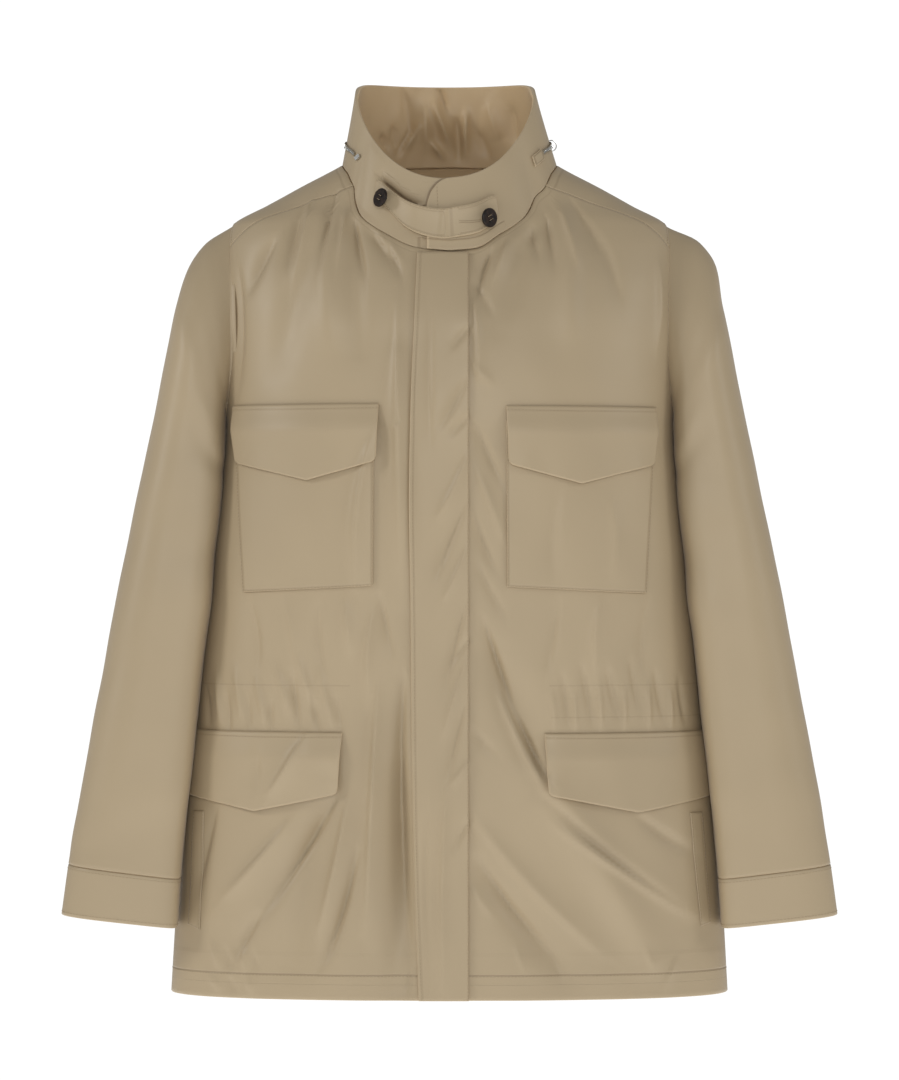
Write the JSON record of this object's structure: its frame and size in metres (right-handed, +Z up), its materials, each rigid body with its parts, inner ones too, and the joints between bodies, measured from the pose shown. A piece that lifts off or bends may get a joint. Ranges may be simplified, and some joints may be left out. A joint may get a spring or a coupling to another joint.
{
  "type": "field jacket",
  "caption": "Hip-length field jacket of smooth tan cloth, filled out with no wearer, with a funnel collar, throat tab, covered front, flapped pockets and a stowed-hood zip.",
  "frame": {"origin": "between the shoulders at the base of the neck, where the wearer's shoulders carry the jacket", "axes": "+Z up, from hem to collar; the front faces -Y; +X is the wearer's left"},
  "size_m": [0.729, 0.2567, 0.865],
  "materials": {
    "shell_cloth": "smooth fine-weave technical cloth with a soft sheen",
    "button_horn": "dark brown mottled horn, polished",
    "zip_tape": "woven tape with metal teeth",
    "zip_metal": "bright nickel-plated metal"
  },
  "bodies": {
    "jacket": {"front_right": "shell_cloth", "front_left": "shell_cloth", "back": "shell_cloth", "yoke": "shell_cloth", "sleeve_right": "shell_cloth", "sleeve_left": "shell_cloth", "cuff_right": "shell_cloth", "cuff_left": "shell_cloth", "collar": "shell_cloth", "throat_tab": "shell_cloth", "placket": "shell_cloth", "chest_pocket_right": "shell_cloth", "chest_pocket_left": "shell_cloth", "pocket_welt_right": "shell_cloth", "pocket_welt_left": "shell_cloth", "chest_flap_right": "shell_cloth", "chest_flap_left": "shell_cloth", "hip_flap_right": "shell_cloth", "hip_flap_left": "shell_cloth", "zip_garage": "shell_cloth", "button_right": "button_horn", "button_left": "button_horn", "hood_zip": "zip_tape", "zip_slider": "zip_metal", "zip_stop": "zip_metal"},
    "zip_pull": {"zip_pull": "zip_metal"}
  },
  "joints": [
    {"name": "zip_pull_hinge", "type": "hinge", "parent": "jacket", "child": "zip_pull", "pos_m": [0.09479, 0.03674, 0.03275], "axis": [0.3817, -0.9216, -0.0701], "range_deg": [0, 80]}
  ]
}
